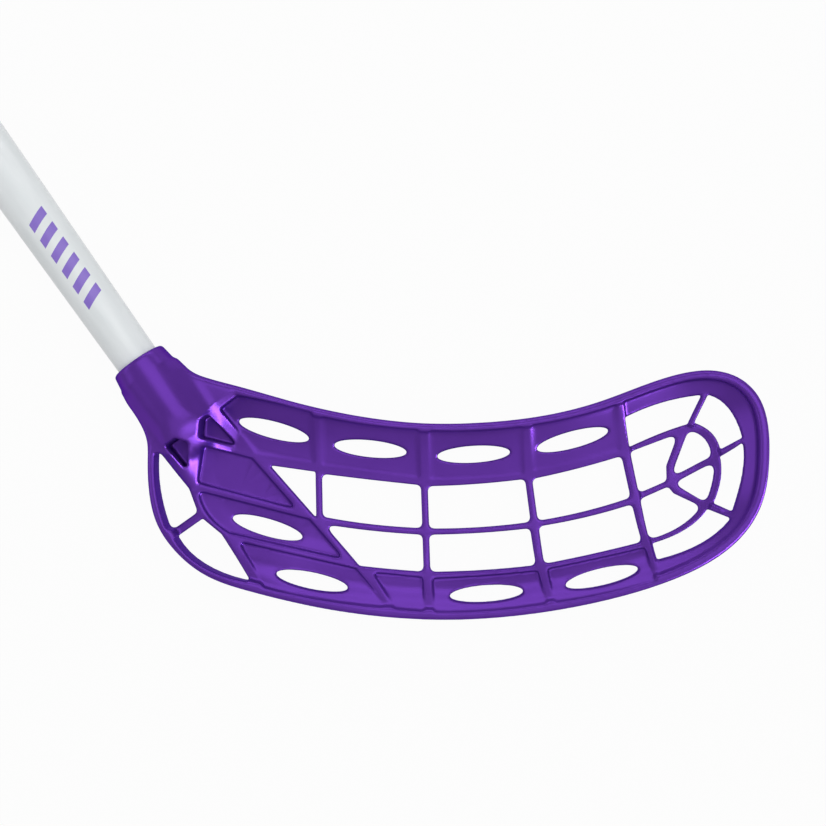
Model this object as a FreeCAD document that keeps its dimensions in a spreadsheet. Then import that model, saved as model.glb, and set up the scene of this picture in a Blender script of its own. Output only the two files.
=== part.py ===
"""A floorball stick: a moulded blade screwed onto a tapered tube shaft, with a wound grip and an end cap.

The stick lies on its back with the hollow of the blade facing up. +X runs along the shaft from the butt to
the blade, and the origin is on the shaft's axis at the upper end of the grip. Lengths are in millimetres.
"""

import FreeCAD
import Part
import Sketcher
import math
import os

from FreeCAD import Placement, Rotation, Vector

# Driving dimensions: every size that can be set by itself, with what it measures.
SIZES = [
    ("shaft_length", 870.0, "tube from the butt to the tip inside the socket"),
    ("shaft_diameter", 24.0, "tube at the grip"),
    ("shaft_tip_diameter", 20.0, "tube inside the socket"),
    ("shaft_taper_length", 145.0, "tapered stretch above the socket's mouth"),
    ("shaft_wall", 1.8, "laminate thickness"),
    ("grip_length", 270.0, "stretch covered by the wound grip"),
    ("grip_thickness", 2.2, "grip tape on the tube"),
    ("band_length", 20.0, "finishing tape that closes the grip"),
    ("band_overlap", 9.0, "part of the finishing tape that lies on the grip's thin end"),
    ("grip_end_thickness", 1.1, "grip tape where the finishing tape covers it"),
    ("band_thickness", 0.5, "finishing tape"),
    ("cap_diameter", 27.6, "head of the end cap"),
    ("cap_thickness", 4.5, "head of the end cap"),
    ("cap_edge", 1.6, "chamfer round the head of the end cap"),
    ("cap_stem_length", 26.0, "plug inside the tube"),
    ("cap_stem_wall", 2.4, "wall of the hollow plug"),
    ("cap_lead", 1.2, "chamfer at the plug's inner end"),
    ("cap_clearance", 0.1, "between the plug and the tube, on the radius"),
    ("socket_depth", 34.0, "how far the tube reaches into the blade"),
    ("socket_clearance", 0.05, "between the tube and the socket, on the radius"),
    ("socket_floor_gap", 0.4, "between the tube's end and the socket's floor"),
    ("mouth_diameter", 25.4, "socket's outside at its mouth"),
    ("mouth_round", 1.1, "rounding of the mouth's rim"),
    ("collar_length", 8.0, "flared collar at the mouth"),
    ("collar_diameter", 28.2, "collar at its wide end"),
    ("collar_step", 0.35, "step behind the collar"),
    ("neck_wall", 2.3, "socket wall round the tube's tip"),
    ("nose_length", 12.0, "rounded end of the socket beyond the tube"),
    ("blade_length", 278.0, "blade from heel to toe"),
    ("blade_height", 111.9, "blade from its lowest to its highest point"),
    ("lie_angle", 54.75, "angle between the shaft and the blade's long way, in degrees"),
    ("back_depth", 14.2, "from the shaft's axis back to the blade's back"),
    ("hook_depth", 16.0, "how far the toe bends forward"),
    ("cup_depth", 11.0, "how far the rim stands in front of the lattice"),
    ("cup_width", 26.0, "sloping flange between the rim and the lattice"),
    ("neck_slope", 17.0, "slope from the neck down to the ribs"),
    ("web_thickness", 2.6, "panels"),
    ("rib_depth", 4.8, "ribs, measured from the blade's back"),
    ("lip_depth", 5.8, "rim, measured from the blade's back"),
    ("lip_width", 3.6, "rim"),
    ("edge_swell", 1.1, "rim's rounded side, out past the rim's line round the toe and the sole"),
    ("window_corner", 2.6, "rounding of the windows' corners"),
    ("sharp_corner", 0.7, "rounding of the windows that run to a point or to the flange"),
    ("panel_corner", 1.8, "rounding of the panels' corners"),
    ("spoke_width", 3.1, "ribs across the toe's flange"),
    ("hole_length", 33.4, "oval hole"),
    ("hole_width", 7.8, "oval hole"),
    ("sole_hole_width", 7.0, "oval hole along the sole, where the dish is steep"),
    ("screw_diameter", 3.8, "blade screw"),
    ("screw_length", 6.5, "blade screw under its head"),
    ("screw_head_diameter", 7.0, "blade screw"),
    ("screw_head_height", 1.7, "blade screw"),
    ("screw_head_edge", 0.5, "chamfer round the screw's head"),
    ("screw_point", 1.4, "tapered end of the screw"),
    ("screw_clearance", 0.1, "round the screw, on the radius"),
    ("screw_seat_wall", 1.6, "socket wall left under the screw's head"),
    ("screw_place", 17.0, "from the socket's mouth to the screw"),
    ("screw_turn", 25.0, "how far the screw's head is turned to the back, in degrees"),
    ("drive_length", 4.4, "cross recess in the screw's head"),
    ("drive_width", 1.0, "cross recess in the screw's head"),
    ("drive_depth", 1.1, "cross recess in the screw's head"),
    ("cut_overrun", 40.0, "how far a cutting shape runs past what it cuts"),
]

# The blade seen square on to its face, in pixels of the reference picture. The mouth's centre is the zero
# of the blade's own plane. Heel, toe, crest and sole are the ends of blade_length and blade_height. The
# picture was taken from a few blade lengths away, over its middle, so what stands nearer looks larger.
MOUTH_PX = (138.0, 361.0)
HEEL_PX, TOE_PX = (147.5, 465.0), (768.5, 455.0)
CREST_PX, SOLE_PX = (705.0, 370.5), (450.0, 618.5)
MIDDLE_PX = (413.0, 413.0)
VIEW_SHARE = 2.7

# Edge of the blade from the collar along the top, round the toe, along the sole and up the heel.
EDGE_PX = [
    (175.5, 359.5), (184, 368.5), (197, 374.7), (240, 387), (300, 403.5), (360, 416.2), (420, 423),
    (480, 422.6), (540, 416.2), (600, 401.5), (650, 383), (690, 372), (715, 371), (740, 379), (758, 397),
    (767, 425), (768.3, 455), (763, 497), (750, 524.5), (720, 554), (670, 579.5), (600, 600.3), (520, 614),
    (450, 618.4), (390, 616), (320, 606.5), (250, 590), (205, 573.5), (175, 549), (157.5, 522), (150, 490),
    (147.6, 465), (145, 434), (134, 408), (123.5, 393.5),
]

# The plain part round the socket, level with the rim, from which the ribs slope down.
NECK_PX = [
    (100, 330), (262, 330), (238, 394), (221, 408), (209, 412), (200, 437), (168, 443), (157, 449),
    (100, 449),
]

# Windows and panels by their corners. Where an edge bows, its first corner also has a point that it passes.
WINDOWS_PX = {
    "upper_1": [(270, 465.3), (315.6, 471.8), (316.4, 518.2)],
    "upper_2": [(322, 473.8, 371, 479.8), (420.8, 485.2), (422.3, 528.2, 372, 524.4), (322.8, 516.8)],
    "upper_3": [(427.8, 486.2, 476, 484), (525, 479), (530.6, 522, 480, 527.2), (429.2, 528.6)],
    "upper_4": [(532, 479, 577, 468.6), (621.5, 455.8), (630.6, 497.6, 585, 511.2), (537.7, 520.8)],
    "lower_2": [(323.5, 524, 373, 530.8), (422.4, 534.6), (423.6, 571.4, 391, 568.8), (359.5, 565.5)],
    "lower_3": [(429.2, 534.6, 480, 532.8), (530, 528.2), (535.6, 564.8, 484, 569.6), (430.4, 571.5)],
    "lower_4": [(538.5, 526.3, 586, 517), (632, 504), (641, 541.5, 593, 553.3), (543.7, 563.5)],
    "toe_top": [(623.5, 417.5, 660, 402.8), (699.3, 395.2), (687.2, 424, 660, 433.4), (629, 447)],
    "toe_corner": [(705.5, 395, 726.5, 408.5), (739.5, 437.5), (719.5, 449.3, 711, 432.5), (693.5, 422.5)],
    "toe_end": [(739.8, 442.5, 739.5, 472), (729, 510.5), (712.3, 502.8, 719.8, 479), (719.3, 456.5)],
    "toe_sole": [(727.3, 517.3, 698, 542), (654.8, 558.3), (651.7, 543, 685, 528.7), (706.3, 508.8)],
    "toe_left": [(630, 452), (678.3, 433.8), (666.3, 466), (666.8, 481), (638.7, 493.3)],
    "toe_inner_top": [(688.5, 430.5, 704.5, 439), (711, 456.3), (670.5, 478)],
    "toe_inner_sole": [(674, 483.5), (713.5, 462.3, 711.8, 481), (705, 502.3)],
    "toe_low": [(640.2, 499.3), (668.3, 486.8), (673.5, 493.5), (700.5, 506.3, 679, 526), (648.5, 539)],
    "heel_top": [(159.3, 452, 160.8, 491), (171.8, 530.5), (198, 512), (189.2, 488), (165.5, 453.5)],
    "heel_sole": [(178.2, 536), (203, 518.5), (222, 534), (252, 579.3, 206, 564)],
}
SHARP_WINDOWS = ("upper_1", "heel_sole", "toe_top", "toe_corner", "toe_end", "toe_sole")
PANELS_PX = {
    "top_1": [(221.5, 409.5), (239, 396, 275, 402.5), (313.3, 412.3), (315, 462.8), (256.5, 452.8)],
    "top_2": [(322, 416.5, 370, 425), (418.5, 429.3), (420.3, 477.8, 370, 471), (321.8, 464.5)],
    "top_3": [(428.5, 430.5, 476, 430.5), (521, 426.5), (524, 473, 478, 477.6), (430, 479)],
    "top_4": [(529.5, 425, 572, 417), (614, 404.5), (620.5, 449.5, 577, 461), (533.5, 470.5)],
    "sole_1": [(372.5, 572), (422.7, 577), (424.5, 608.5), (396, 606)],
    "sole_2": [(432.5, 578, 485, 575.2), (537.5, 570.3), (545, 600.5, 490, 607.5), (434, 609.3)],
    "sole_3": [(547, 568.5, 597, 558), (644, 547), (652, 577.5, 603, 590.5), (553, 599.5)],
    "heel_1": [(204, 446), (252, 458.5), (297, 509.5), (198, 483)],
    "heel_2": [(198, 491), (309.5, 519.5), (344, 559), (229, 533, 208, 515)],
    "heel_3": [(238.5, 541.5), (356, 568.3), (388, 604.5, 325, 597.5), (266, 585)],
    "pocket_heel": [(169, 445), (180, 437.5), (191.8, 441.5), (188.5, 470)],
    "pocket_top": [(204.5, 420), (211, 414.5), (238.5, 446.5), (202.8, 437.5)],
}
# The toe's flange: the part of the recess beyond the last upright rib, and the spokes that cross it.
TOE_FLANGE_PX = [(617, 380), (800, 340), (800, 620), (666, 620)]
SPOKES_PX = [((690, 426), (712, 372)), ((719.5, 452.7), (772, 423.5)), ((709, 506), (772, 533))]
# Oval holes: their middles, and a point on the long way of each.
HOLES_PX = [
    ((274, 430), (309, 439)), ((370.5, 448.7), (407, 452.5)), ((473.5, 454.2), (510, 452)),
    ((572, 439.7), (607, 430.5)), ((267, 528), (301.5, 538)),
]
SOLE_HOLES_PX = [((312.5, 580), (348.5, 587.5)), ((486, 592.6), (522.5, 590)), ((600.5, 576), (636, 567.5))]

EDGE_SAMPLES = 160
GRID_LONG, GRID_HIGH = 52, 26
CUP_POWER = 1.6
NECK_POWER = 1.1
HOOK_START_SHARE = 0.3
HEEL_WALL_SHARES = (0.06, 0.24)

# Shares of the edge's length, from the collar along the top, where the rim's side swells and sinks again.
SWELL_SHARES, SINK_SHARES = (0.33, 0.43), (0.925, 0.97)
CORNER_LIMIT_SHARE = 0.42
NOSE_BULGE_SHARES = (0.72, 0.68)

doc = FreeCAD.newDocument("floorball_stick")


def make_sheet():
    """The sheet of driving dimensions, one alias a row."""
    sheet = doc.addObject("Spreadsheet::Sheet", "Sizes")
    for row, (alias, value, note) in enumerate(SIZES, start=1):
        sheet.set(f"A{row}", alias)
        sheet.set(f"B{row}", str(value))
        sheet.set(f"C{row}", note)
        sheet.setAlias(f"B{row}", alias)
    doc.recompute()
    return sheet


sizes = make_sheet()


def size(alias):
    return float(getattr(sizes, alias))


def value_of(formula):
    """The number that a formula of the sheet's cells comes to."""
    probe = doc.addObject("App::FeaturePython", "probe")
    probe.addProperty("App::PropertyFloat", "Value")
    probe.setExpression("Value", formula)
    probe.recompute()
    value = probe.Value
    doc.removeObject(probe.Name)
    return value


def origin_plane(body, role):
    return [f for f in body.Origin.OriginFeatures if f.Role == role][0]


def turned_body(label, profile):
    """A body turned about X: profile is a closed outline of (place along X, radius) formulas."""
    body = doc.addObject("PartDesign::Body", label)
    sketch = body.newObject("Sketcher::SketchObject", label + "_profile")
    sketch.AttachmentSupport = [(origin_plane(body, "XY_Plane"), "")]
    sketch.MapMode = "FlatFace"
    points = [Vector(value_of(along), value_of(radius), 0) for along, radius in profile]
    count = len(points)
    for i in range(count):
        sketch.addGeometry(Part.LineSegment(points[i], points[(i + 1) % count]), False)
    for i in range(count):
        sketch.addConstraint(Sketcher.Constraint("Coincident", i, 2, (i + 1) % count, 1))
    for i, (along, radius) in enumerate(profile):
        bind_point(sketch, i, "DistanceX", -2, along, points[i].x)
        bind_point(sketch, i, "DistanceY", -1, radius, points[i].y)
    doc.recompute()
    turned = body.newObject("PartDesign::Revolution", label + "_turned")
    turned.Profile = sketch
    turned.ReferenceAxis = (sketch, ["H_Axis"])
    turned.Angle = 360
    doc.recompute()
    return body


def bind_point(sketch, line, kind, zero_axis, formula, value):
    """Ties one coordinate of a line's start to a formula, or to the axis itself where it is zero."""
    if formula == "0":
        sketch.addConstraint(Sketcher.Constraint("PointOnObject", line, 1, zero_axis))
        return
    index = sketch.addConstraint(Sketcher.Constraint(kind, -1, 1, line, 1, value))
    sketch.setExpression(f"Constraints[{index}]", formula)


def make_shaft():
    """The tube: a straight stretch, a taper down to the socket and a straight tip, all of one wall."""
    mouth = "Sizes.shaft_length - Sizes.socket_depth"
    taper = "Sizes.shaft_length - Sizes.socket_depth - Sizes.shaft_taper_length"
    wide, thin = "Sizes.shaft_diameter / 2", "Sizes.shaft_tip_diameter / 2"
    body = turned_body("shaft", [
        ("0", wide),
        (taper, wide),
        (mouth, thin),
        ("Sizes.shaft_length", thin),
        ("Sizes.shaft_length", thin + " - Sizes.shaft_wall"),
        (mouth, thin + " - Sizes.shaft_wall"),
        (taper, wide + " - Sizes.shaft_wall"),
        ("0", wide + " - Sizes.shaft_wall"),
    ])
    sketch = body.newObject("Sketcher::SketchObject", "screw_hole_outline")
    sketch.AttachmentSupport = [(origin_plane(body, "XZ_Plane"), "")]
    sketch.MapMode = "FlatFace"
    sketch.setExpression("AttachmentOffset.Rotation.Angle", "Sizes.screw_turn")
    sketch.AttachmentOffset = Placement(Vector(0, 0, 0), Rotation(Vector(1, 0, 0), size("screw_turn")))
    along = mouth + " + Sizes.screw_place"
    middle = Vector(value_of(along), 0, 0)
    sketch.addGeometry(Part.Circle(middle, Vector(0, 0, 1), size("screw_diameter") / 2), False)
    sketch.addConstraint(Sketcher.Constraint("PointOnObject", 0, 3, -1))
    place = sketch.addConstraint(Sketcher.Constraint("DistanceX", -1, 1, 0, 3, middle.x))
    sketch.setExpression(f"Constraints[{place}]", along)
    across = sketch.addConstraint(Sketcher.Constraint("Diameter", 0, size("screw_diameter")))
    sketch.setExpression(f"Constraints[{across}]", "Sizes.screw_diameter + 2 * Sizes.screw_clearance")
    doc.recompute()
    whole = body.Shape.Volume
    hole = body.newObject("PartDesign::Pocket", "screw_hole")
    hole.Profile = sketch
    hole.Reversed = True
    hole.setExpression("Length", "Sizes.shaft_diameter")
    doc.recompute()
    print("shaft: the screw's hole takes", round(whole - body.Shape.Volume, 2), "cubic mm")
    return body


def make_grip():
    """The wound grip as one sleeve on the tube, thinner at the end that the finishing tape covers."""
    inner = "Sizes.shaft_diameter / 2"
    outer = inner + " + Sizes.grip_thickness"
    thin = inner + " + Sizes.grip_end_thickness"
    full = "Sizes.grip_length - Sizes.band_overlap"
    return turned_body("grip_tape", [
        ("0", inner), ("0", outer), (full, outer), (full, thin), ("Sizes.grip_length", thin),
        ("Sizes.grip_length", inner),
    ])


def make_band():
    """The finishing tape: it lies partly on the grip's end and partly on the bare tube."""
    tube = "Sizes.shaft_diameter / 2"
    grip = tube + " + Sizes.grip_end_thickness"
    start = "Sizes.grip_length - Sizes.band_overlap"
    end = "Sizes.grip_length - Sizes.band_overlap + Sizes.band_length"
    step = "Sizes.grip_length + Sizes.band_thickness"
    return turned_body("grip_band", [
        (start, grip),
        (start, grip + " + Sizes.band_thickness"),
        (step, grip + " + Sizes.band_thickness"),
        (step, tube + " + Sizes.band_thickness"),
        (end, tube + " + Sizes.band_thickness"),
        (end, tube),
        ("Sizes.grip_length", tube),
        ("Sizes.grip_length", grip),
    ])


def make_cap():
    """The end cap: a chamfered head on the tube's end and a hollow plug inside the tube."""
    head = "Sizes.cap_diameter / 2"
    plug = "Sizes.shaft_diameter / 2 - Sizes.shaft_wall - Sizes.cap_clearance"
    return turned_body("end_cap", [
        ("-Sizes.cap_thickness", "0"),
        ("-Sizes.cap_thickness", head + " - Sizes.cap_edge"),
        ("-Sizes.cap_thickness + Sizes.cap_edge", head),
        ("0", head),
        ("0", plug),
        ("Sizes.cap_stem_length - Sizes.cap_lead", plug),
        ("Sizes.cap_stem_length", plug + " - Sizes.cap_lead"),
        ("Sizes.cap_stem_length", plug + " - Sizes.cap_stem_wall"),
        ("0", plug + " - Sizes.cap_stem_wall"),
        ("0", "0"),
    ])


def screw_direction():
    """The way out of the screw's hole: to the heel side, turned towards the blade's back."""
    turn = math.radians(size("screw_turn"))
    return Vector(0, -math.cos(turn), -math.sin(turn))


def screw_seat():
    """The middle of the seat under the screw's head."""
    reach = size("shaft_tip_diameter") / 2 + size("screw_seat_wall")
    along = size("shaft_length") - size("socket_depth") + size("screw_place")
    return Vector(along, 0, 0) + screw_direction() * reach


def make_screw():
    """The blade screw: a low chamfered head with a cross recess and a pointed shank."""
    shank, head = "Sizes.screw_diameter / 2", "Sizes.screw_head_diameter / 2"
    body = turned_body("blade_screw", [
        ("-Sizes.screw_length", "0"),
        ("Sizes.screw_head_height", "0"),
        ("Sizes.screw_head_height", head + " - Sizes.screw_head_edge"),
        ("Sizes.screw_head_height - Sizes.screw_head_edge", head),
        ("0", head),
        ("0", shank),
        ("-Sizes.screw_length + Sizes.screw_point", shank),
    ])
    cut_drive_arm(body, "flat", "drive_length", "drive_width")
    cut_drive_arm(body, "upright", "drive_width", "drive_length")
    body.Placement = Placement(screw_seat(), Rotation(Vector(1, 0, 0), screw_direction()))
    return body


def cut_drive_arm(body, name, width, height):
    """One arm of the cross recess: a rectangle on the head's top, cut to the recess's depth."""
    sketch = body.newObject("Sketcher::SketchObject", f"drive_{name}")
    sketch.AttachmentSupport = [(origin_plane(body, "YZ_Plane"), "")]
    sketch.MapMode = "FlatFace"
    sketch.setExpression("AttachmentOffset.Base.z", "Sizes.screw_head_height")
    signs = [(-1, -1), (1, -1), (1, 1), (-1, 1)]
    points = [Vector(x * size(width) / 2, y * size(height) / 2, 0) for x, y in signs]
    for i in range(len(points)):
        sketch.addGeometry(Part.LineSegment(points[i], points[(i + 1) % len(points)]), False)
    for i, (x, y) in enumerate(signs):
        sketch.addConstraint(Sketcher.Constraint("Coincident", i, 2, (i + 1) % len(signs), 1))
        bind_point(sketch, i, "DistanceX", -2, f"{x} * Sizes.{width} / 2", points[i].x)
        bind_point(sketch, i, "DistanceY", -1, f"{y} * Sizes.{height} / 2", points[i].y)
    doc.recompute()
    pocket = body.newObject("PartDesign::Pocket", f"drive_{name}_cut")
    pocket.Profile = sketch
    pocket.setExpression("Length", "Sizes.drive_depth")
    doc.recompute()


def rim_level():
    """The rim's front, over the lattice's back."""
    return size("cup_depth") + size("lip_depth")


def hook_rise(share):
    """How far the blade has bent forward at a share of its length from the heel."""
    return size("hook_depth") * max(0.0, (share - HOOK_START_SHARE) / (1 - HOOK_START_SHARE)) ** 2


def level_with_axis(pixel, level):
    """The pixel of a thing as if it lay level with the shaft's axis, for its level over the back."""
    share = (pixel[0] - HEEL_PX[0]) / (TOE_PX[0] - HEEL_PX[0])
    height = level - size("back_depth") + hook_rise(share)
    nearer = 1 - height / (VIEW_SHARE * size("blade_length"))
    return [middle + (at - middle) * nearer for at, middle in zip(pixel, MIDDLE_PX)]


def on_blade(pixel, level):
    """A place in the blade's own plane, from the mouth's centre, for the pixel of a thing at a level."""
    flat = level_with_axis(pixel, level)
    heel, toe = (level_with_axis(p, rim_level())[0] for p in (HEEL_PX, TOE_PX))
    crest, sole = (level_with_axis(p, rim_level())[1] for p in (CREST_PX, SOLE_PX))
    across = (flat[0] - MOUTH_PX[0]) / (toe - heel) * size("blade_length")
    up = (MOUTH_PX[1] - flat[1]) / (sole - crest) * size("blade_height")
    return Vector(across, up, 0)


def blade_edge():
    """The blade's edge as one smooth open curve."""
    curve = Part.BSplineCurve()
    curve.interpolate([on_blade(p, rim_level()) for p in EDGE_PX])
    return curve


def edge_swell(share):
    """How far the rim's side swells out past the rim's line, at a share of the edge from the collar."""
    return size("edge_swell") * smooth_step(share, SWELL_SHARES) * (1 - smooth_step(share, SINK_SHARES))


def inset_curve(curve, distance):
    """The edge moved into the blade, square to itself, by a distance that follows the share along it."""
    moved = []
    steps = EDGE_SAMPLES // 2
    for i in range(steps + 1):
        at = curve.FirstParameter + (curve.LastParameter - curve.FirstParameter) * i / steps
        tangent = curve.tangent(at)[0]
        moved.append(curve.value(at) + Vector(tangent.y, -tangent.x, 0) * distance(i / steps))
    inner = Part.BSplineCurve()
    inner.interpolate(moved)
    return inner


def upright(edges):
    """A prism over a closed run of edges, far past the blade's front and back."""
    reach = size("back_depth") + size("cut_overrun")
    face = Part.Face(Part.Wire(edges))
    face.translate(Vector(0, 0, -reach))
    return face.extrude(Vector(0, 0, 2 * reach))


def closed_by_line(curve):
    """A curve's edge with a straight edge that joins its ends."""
    start, end = curve.value(curve.FirstParameter), curve.value(curve.LastParameter)
    return [curve.toShape(), Part.LineSegment(end, start).toShape()]


def rounded_edges(corners, radius, level):
    """Edges of an outline given by its corners in pixels, each corner rounded and each bowed edge an arc."""
    points = [on_blade(c, level) for c in corners]
    sides = []
    for i, corner in enumerate(corners):
        start, end = points[i], points[(i + 1) % len(points)]
        if len(corner) == 4:
            sides.append(Part.Arc(start, on_blade(corner[2:], level), end).toShape())
        else:
            sides.append(Part.LineSegment(start, end).toShape())
    trims = []
    for i, corner in enumerate(points):
        before, after = sides[i - 1], sides[i]
        back, on = before.tangentAt(before.LastParameter) * -1, after.tangentAt(after.FirstParameter)
        half = back.getAngle(on) / 2
        longest = CORNER_LIMIT_SHARE * min(before.Length, after.Length)
        trims.append(min(radius / math.tan(half), longest))
    edges = []
    for i, side in enumerate(sides):
        following = (i + 1) % len(sides)
        first = side.getParameterByLength(trims[i])
        last = side.getParameterByLength(side.Length - trims[following])
        edges.append(Part.Edge(side.Curve, first, last))
        corner_curve = Part.BezierCurve()
        next_side = sides[following]
        landing = next_side.valueAt(next_side.getParameterByLength(trims[following]))
        corner_curve.setPoles([side.valueAt(last), points[following], landing])
        edges.append(corner_curve.toShape())
    return edges


def depth_inside(place, outline):
    """How far a place lies inside a closed outline of points, negative outside it."""
    nearest, inside = math.inf, False
    for i in range(len(outline)):
        p, q = outline[i - 1], outline[i]
        along = q - p
        share = min(1.0, max(0.0, (place - p).dot(along) / along.dot(along)))
        nearest = min(nearest, (place - p - along * share).Length)
        if (p.y > place.y) != (q.y > place.y):
            inside ^= place.x < along.x * (place.y - p.y) / along.y + p.x
    return nearest if inside else -nearest


def smooth_step(value, shares):
    """Zero before the first share, one after the second and an easy curve between them."""
    t = min(1.0, max(0.0, (value - shares[0]) / (shares[1] - shares[0])))
    return t * t * (3 - 2 * t)


def blade_surfaces(edge):
    """Three faces of the blade: its back, the ribs' front and the rim's front.

    All bend towards the toe. The flange rises from the lattice to the rim, but at the heel the back stays
    low, so that the rim is a wall there. The ribs' front slopes up to the neck.
    """
    span = edge.LastParameter - edge.FirstParameter
    outline = [edge.value(edge.FirstParameter + span * i / EDGE_SAMPLES) for i in range(EDGE_SAMPLES + 1)]
    neck = [on_blade(p, rim_level()) for p in NECK_PX]
    box = edge.toShape().BoundBox
    margin = size("cup_width") / 2
    low = Vector(box.XMin - margin, box.YMin - margin, 0)
    high = Vector(box.XMax + margin, box.YMax + margin, 0)
    heel = on_blade(HEEL_PX, rim_level()).x
    backs, ribs, rims = [], [], []
    for i in range(GRID_LONG + 1):
        across = low.x + (high.x - low.x) * i / GRID_LONG
        share = (across - heel) / size("blade_length")
        base = hook_rise(share) - size("back_depth")
        places = [Vector(across, low.y + (high.y - low.y) * k / GRID_HIGH, 0) for k in range(GRID_HIGH + 1)]
        columns = []
        for place in places:
            inside = max(0.0, 1 - depth_inside(place, outline) / size("cup_width"))
            rise = size("cup_depth") * inside ** CUP_POWER
            back = base + rise * smooth_step(share, HEEL_WALL_SHARES)
            rim = base + rim_level()
            near = min(1.0, max(0.0, 1 + depth_inside(place, neck) / size("neck_slope")))
            rib = back + size("rib_depth")
            rib += max(0.0, base + rim_level() - rib) * near ** NECK_POWER
            columns.append([place + Vector(0, 0, height) for height in (back, rib, rim)])
        for rows, level in ((backs, 0), (ribs, 1), (rims, 2)):
            rows.append([column[level] for column in columns])
    return [face_through(rows) for rows in (backs, ribs, rims)]


def face_through(rows):
    """A smooth face through a grid of points."""
    surface = Part.BSplineSurface()
    surface.interpolate(rows)
    return surface.toShape()


def space_over(face, height=0.0):
    """The space in front of a face, from a height over it."""
    lifted = face.copy()
    lifted.translate(Vector(0, 0, height))
    return lifted.extrude(Vector(0, 0, 2 * size("cut_overrun")))


def socket_solids():
    """The socket's outside and its bore, turned about the shaft's axis, in the blade's own plane."""
    mouth, collar = size("mouth_diameter") / 2, size("collar_diameter") / 2
    bore = size("shaft_tip_diameter") / 2 + size("socket_clearance")
    neck = bore + size("neck_wall")
    floor = size("socket_depth") + size("socket_floor_gap")
    tip = floor + size("nose_length")
    rim, length = size("mouth_round"), size("collar_length")
    slope = (collar - mouth) / length
    outline = [Vector(rim, mouth + slope * rim, 0), Vector(length, collar, 0),
               Vector(length, collar - size("collar_step"), 0), Vector(floor, neck, 0)]
    start, face, end = Vector(0, 0, 0), Vector(0, mouth - rim, 0), Vector(tip, 0, 0)
    rounding = rim * (1 - math.sqrt(0.5))
    bulge = Vector(floor + NOSE_BULGE_SHARES[0] * size("nose_length"), NOSE_BULGE_SHARES[1] * neck, 0)
    edges = [Part.LineSegment(start, face).toShape()]
    edges.append(Part.Arc(face, Vector(rounding, mouth - rounding, 0), outline[0]).toShape())
    edges += [Part.LineSegment(p, q).toShape() for p, q in zip(outline, outline[1:])]
    edges.append(Part.Arc(outline[-1], bulge, end).toShape())
    edges.append(Part.LineSegment(end, start).toShape())
    outside = Part.Face(Part.Wire(edges)).revolve(Vector(0, 0, 0), Vector(1, 0, 0), 360)
    overrun = size("cut_overrun")
    hollow = Part.makeCylinder(bore, floor + overrun, Vector(-overrun, 0, 0), Vector(1, 0, 0))
    turn = Placement(Vector(0, 0, 0), Rotation(Vector(0, 0, 1), -size("lie_angle")))
    for solid in (outside, hollow):
        solid.Placement = turn
    return outside, hollow


def screw_hole():
    """The hole for the screw's shank and the counterbore for its head, in the blade's own plane."""
    to_blade = blade_placement().inverse()
    seat = to_blade.multVec(screw_seat())
    way = to_blade.Rotation.multVec(screw_direction())
    gap, reach = size("screw_clearance"), size("screw_length")
    shank = Part.makeCylinder(size("screw_diameter") / 2 + gap, reach, seat - way * reach, way)
    head = Part.makeCylinder(size("screw_head_diameter") / 2 + gap, size("cut_overrun"), seat, way)
    return [shank, head]


def blade_placement():
    along = size("shaft_length") - size("socket_depth")
    return Placement(Vector(along, 0, 0), Rotation(Vector(0, 0, 1), size("lie_angle")))


def make_blade():
    """The blade: a bent dish with a rim, ribs, recessed panels, windows and oval holes, and the socket."""
    edge = blade_edge()
    back, ribs, rim = blade_surfaces(edge)
    outer = upright(closed_by_line(inset_curve(edge, lambda share: -edge_swell(share))))
    dish = space_over(back).common(outer).cut(space_over(rim))
    inner = upright(closed_by_line(inset_curve(edge, lambda share: size("lip_width"))))
    panels = [rounded_edges(c, size("panel_corner"), size("rib_depth")) for c in PANELS_PX.values()]
    corner = {name: "sharp_corner" if name in SHARP_WINDOWS else "window_corner" for name in WINDOWS_PX}
    windows = [rounded_edges(c, size(corner[name]), size("rib_depth") / 2) for name, c in WINDOWS_PX.items()]
    flange = inner.common(upright(rounded_edges(TOE_FLANGE_PX, size("panel_corner"), size("rib_depth"))))
    flange = flange.cut([spoke(start, end) for start, end in SPOKES_PX])
    over_web = space_over(back, size("web_thickness"))
    cuts = [inner.common(space_over(ribs)), flange.common(over_web)]
    cuts += [upright(panel).common(over_web) for panel in panels]
    cuts += [upright(window) for window in windows]
    cuts += [oval_hole(middle, end, size("hole_width")) for middle, end in HOLES_PX]
    cuts += [oval_hole(middle, end, size("sole_hole_width")) for middle, end in SOLE_HOLES_PX]
    lattice = dish.cut(cuts)
    outside, hollow = socket_solids()
    moulded = lattice.fuse(outside).cut([hollow] + screw_hole())
    print("blade:", len(moulded.Solids), "solid,", round(moulded.Volume), "cubic mm")
    blade = doc.addObject("Part::Feature", "blade")
    blade.Shape = moulded.Solids[0]
    blade.Placement = blade_placement()
    return blade


def spoke(start, end):
    """A straight strip of the spokes' width between two pixels."""
    first, last = (on_blade(p, size("rib_depth")) for p in (start, end))
    way = (last - first).normalize()
    side = Vector(-way.y, way.x, 0) * (size("spoke_width") / 2)
    corners = [first + side, last + side, last - side, first - side]
    return upright([Part.LineSegment(corners[i], corners[(i + 1) % 4]).toShape() for i in range(4)])


def oval_hole(middle, end, width):
    """An upright oval hole of a width, its long way towards a pixel."""
    centre = on_blade(middle, size("rib_depth"))
    way = (on_blade(end, size("rib_depth")) - centre).normalize()
    side = Vector(-way.y, way.x, 0)
    long_end, short_end = centre + way * (size("hole_length") / 2), centre + side * (width / 2)
    oval = Part.Ellipse(long_end, short_end, centre)
    return upright([oval.toShape()])


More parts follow.
